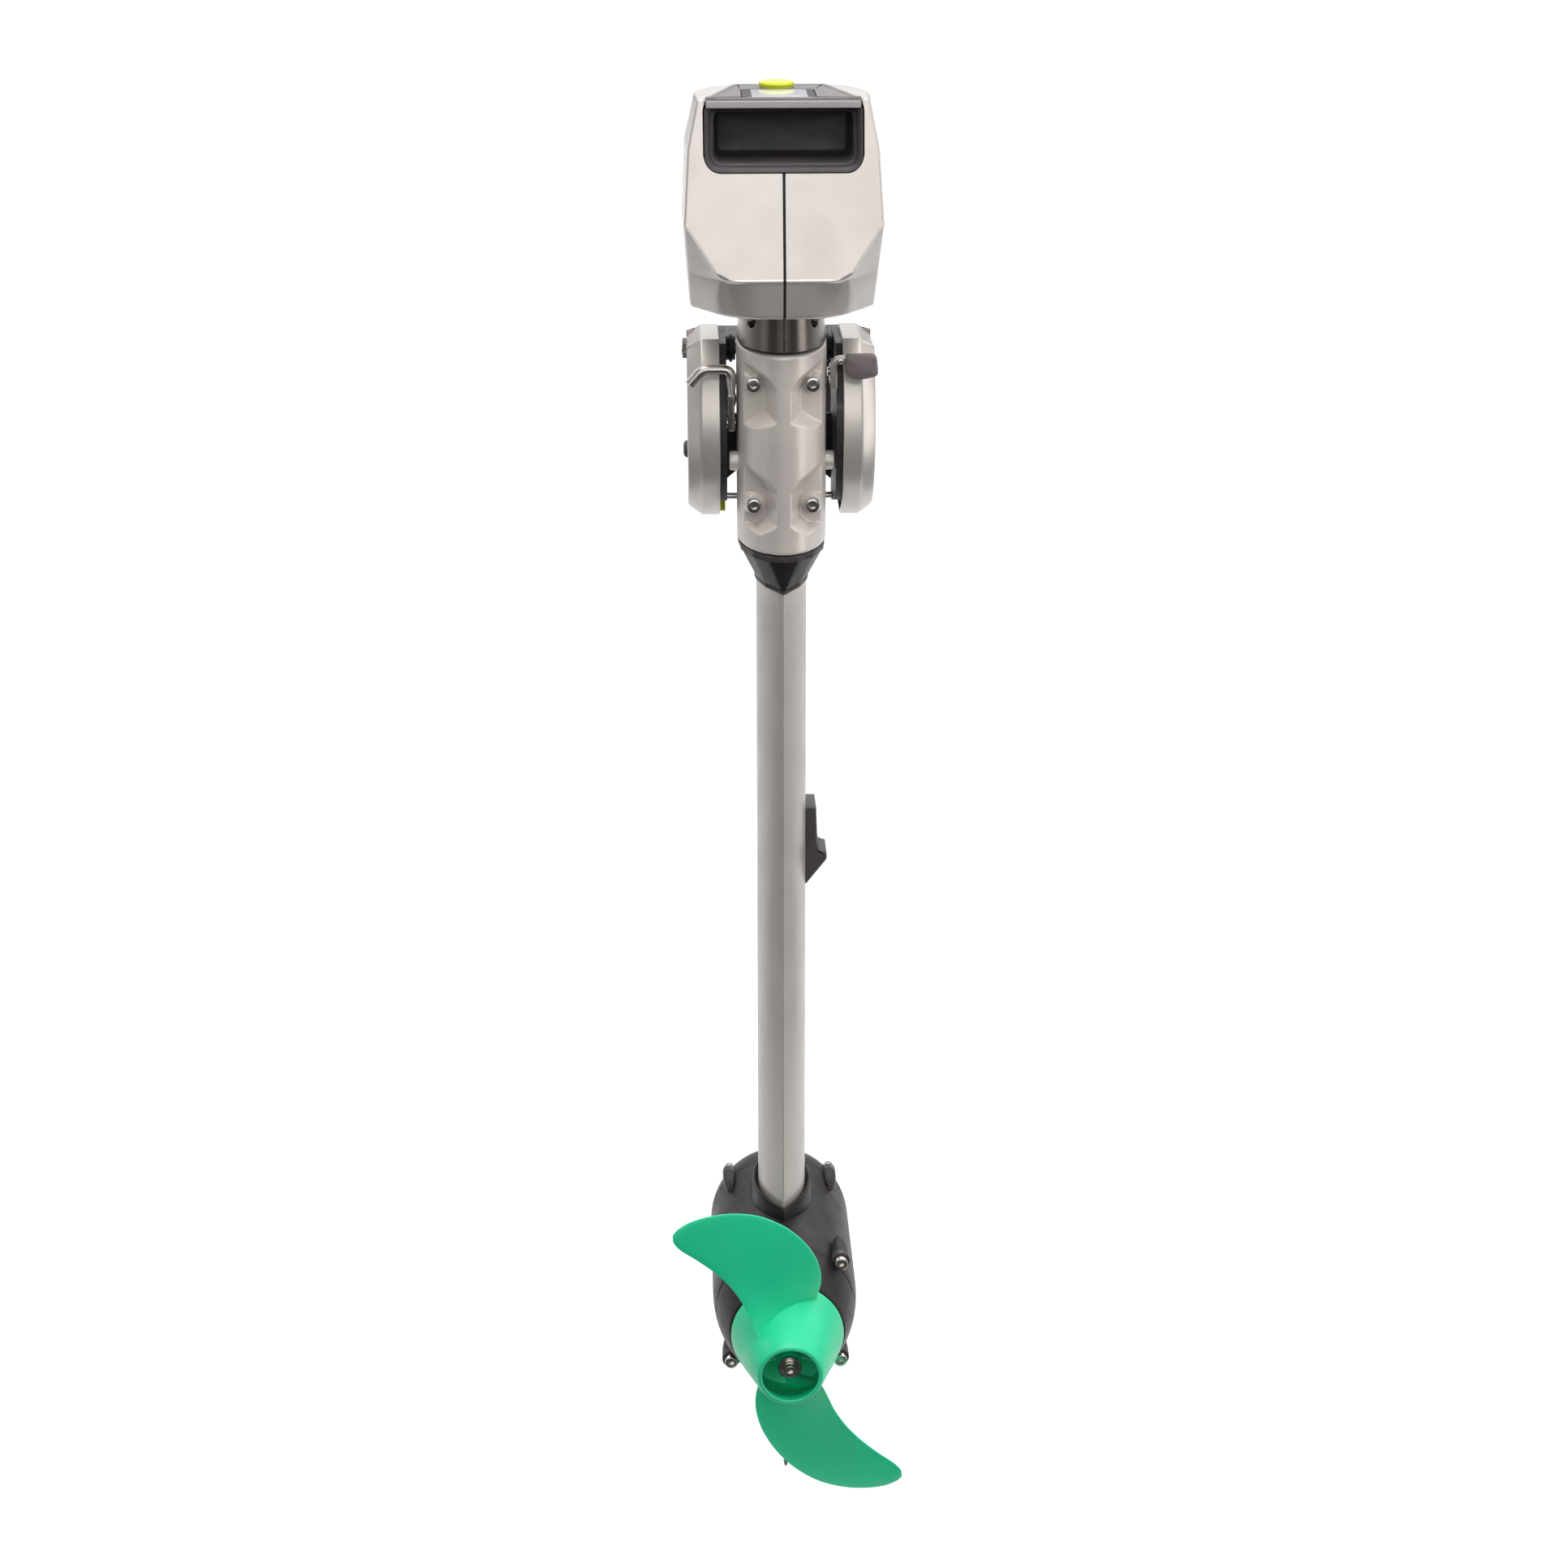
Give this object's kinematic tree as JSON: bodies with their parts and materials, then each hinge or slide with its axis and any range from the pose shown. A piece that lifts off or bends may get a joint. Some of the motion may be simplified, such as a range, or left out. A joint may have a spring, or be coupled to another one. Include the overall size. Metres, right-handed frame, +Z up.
{
  "type": "electric outboard motor",
  "caption": "Portable electric outboard motor that clamps to a boat's transom: head with handle and display, slim leg, pod motor and skewed propeller.",
  "frame": {"origin": "on the seat that rests on the transom's top edge, on the centre plane, 30 mm forward of the aft clamp face", "axes": "+Y forward into the boat, +X to starboard, +Z up"},
  "size_m": [0.172, 0.514, 1.0573],
  "materials": {
    "shell_grey": "moulded nylon under satin metallic paint",
    "cast_grey": "cast or extruded, powder coated",
    "charcoal": "moulded, lightly textured",
    "neck_gloss": "dark metallic gloss",
    "pod_black": "cast, dark satin coat",
    "prop_green": "moulded, semi matt",
    "lime": "moulded",
    "stainless": "drawn and polished",
    "tube_alloy": "anodised",
    "grip_rubber": "soft touch",
    "display_glass": "gloss",
    "button_black": "satin",
    "battery_case": "satin",
    "core_steel": "laminated",
    "copper": "enamelled wire"
  },
  "bodies": {
    "bracket": {"clamp_arm_right": "charcoal", "clamp_arm_left": "charcoal", "transom_bridge": "charcoal", "arm_web": "charcoal", "arm_cover_right": "shell_grey", "arm_cover_left": "shell_grey", "tilt_axle": "stainless", "tilt_axle_nut": "stainless", "tilt_spacers": "charcoal", "thrust_rod": "charcoal", "lock_dome": "charcoal", "lever_pivots": "stainless"},
    "rod_tab": {"rod_tab": "lime"},
    "clamp_pad_right": {"clamp_pad_right": "grip_rubber"},
    "clamp_pad_left": {"clamp_pad_left": "grip_rubber"},
    "clamp_screw_right": {"clamp_screw_right": "stainless"},
    "clamp_screw_left": {"clamp_screw_left": "stainless"},
    "left_lever": {"left_lever": "stainless"},
    "right_lever": {"right_lever": "stainless", "right_lever_grip": "grip_rubber"},
    "swivel": {"swivel_housing_rear": "cast_grey", "swivel_housing_front": "cast_grey", "swivel_screws": "stainless", "steering_bush_upper": "charcoal", "steering_bush_lower": "charcoal"},
    "steering": {"head_shell_right": "shell_grey", "head_shell_left": "shell_grey", "handle_liner": "charcoal", "deck_panel": "charcoal", "display_window": "display_glass", "battery_pack": "battery_case", "controller": "tube_alloy", "neck_cover_right": "neck_gloss", "neck_cover_left": "neck_gloss", "steering_tube": "tube_alloy", "leg_collar": "charcoal", "leg_fairing": "cast_grey", "leg_hook": "charcoal", "motor_cable": "grip_rubber", "motor_housing": "pod_black", "pod_nose": "pod_black", "pod_tail": "pod_black", "pod_screws": "stainless", "skeg": "pod_black", "stator": "core_steel", "windings": "copper", "shaft_bearings": "stainless", "shaft_seal": "grip_rubber", "tiller_bracket": "charcoal", "tiller_pin": "stainless"},
    "stop_key": {"stop_key": "lime"},
    "power_button": {"power_button": "button_black"},
    "propeller": {"rotor": "core_steel", "drive_shaft": "stainless", "shear_pin": "stainless", "propeller": "prop_green", "prop_washer": "stainless", "prop_screw": "stainless"},
    "tiller": {"tiller_arm": "charcoal"},
    "throttle": {"throttle_grip": "grip_rubber"}
  },
  "joints": [
    {"name": "tilt", "type": "hinge", "parent": "bracket", "child": "swivel", "pos_m": [0, -0.055, 0.008], "axis": [-1, 0, 0], "range_deg": [0, 60]},
    {"name": "steer", "type": "hinge", "parent": "swivel", "child": "steering", "pos_m": [0, -0.1, -0.05], "axis": [0, 0, 1], "range_deg": [-60, 60]},
    {"name": "prop_spin", "type": "hinge", "parent": "steering", "child": "propeller", "pos_m": [0, -0.24, -0.716], "axis": [0, 1, 0], "continuous": true},
    {"name": "tiller_fold", "type": "hinge", "parent": "steering", "child": "tiller", "pos_m": [0, 0.003, 0.143], "axis": [1, 0, 0], "range_deg": [0, 90]},
    {"name": "throttle_twist", "type": "hinge", "parent": "tiller", "child": "throttle", "pos_m": [0, 0.165, 0.143], "axis": [0, 1, 0], "range_deg": [-60, 60]},
    {"name": "stop_key_lift", "type": "slide", "parent": "steering", "child": "stop_key", "axis": [0, 0, 1], "range_m": [0, 0.02]},
    {"name": "power_button_press", "type": "slide", "parent": "steering", "child": "power_button", "axis": [0, -0.6, -0.8], "range_m": [0, 0.0015], "stiffness_N_per_m": 400, "springref_m": -0.001},
    {"name": "left_lever_turn", "type": "hinge", "parent": "bracket", "child": "left_lever", "pos_m": [-0.0363, -0.112, -0.035], "axis": [1, 0, 0], "range_deg": [0, 40]},
    {"name": "right_lever_turn", "type": "hinge", "parent": "bracket", "child": "right_lever", "pos_m": [0.037, -0.094, -0.002], "axis": [1, 0, 0], "range_deg": [0, 20]},
    {"name": "rod_tab_turn", "type": "hinge", "parent": "bracket", "child": "rod_tab", "pos_m": [-0.0422, -0.05, -0.105], "axis": [1, 0, 0], "range_deg": [-25, 25]},
    {"name": "clamp_travel_right", "type": "slide", "parent": "bracket", "child": "clamp_pad_right", "axis": [0, -1, 0], "range_m": [0, 0.02]},
    {"name": "clamp_turn_right", "type": "hinge", "parent": "clamp_pad_right", "child": "clamp_screw_right", "pos_m": [0.046, 0.06, -0.048], "axis": [0, -1, 0], "range_deg": [0, 1799]},
    {"name": "clamp_travel_left", "type": "slide", "parent": "bracket", "child": "clamp_pad_left", "axis": [0, -1, 0], "range_m": [0, 0.02]},
    {"name": "clamp_turn_left", "type": "hinge", "parent": "clamp_pad_left", "child": "clamp_screw_left", "pos_m": [-0.046, 0.06, -0.048], "axis": [0, -1, 0], "range_deg": [0, 1799]}
  ],
  "couplings": [
    {"joint": "clamp_travel_right", "follows": "clamp_turn_right", "m_per_rad": 0.00063662},
    {"joint": "clamp_travel_left", "follows": "clamp_turn_left", "m_per_rad": 0.00063662}
  ]
}
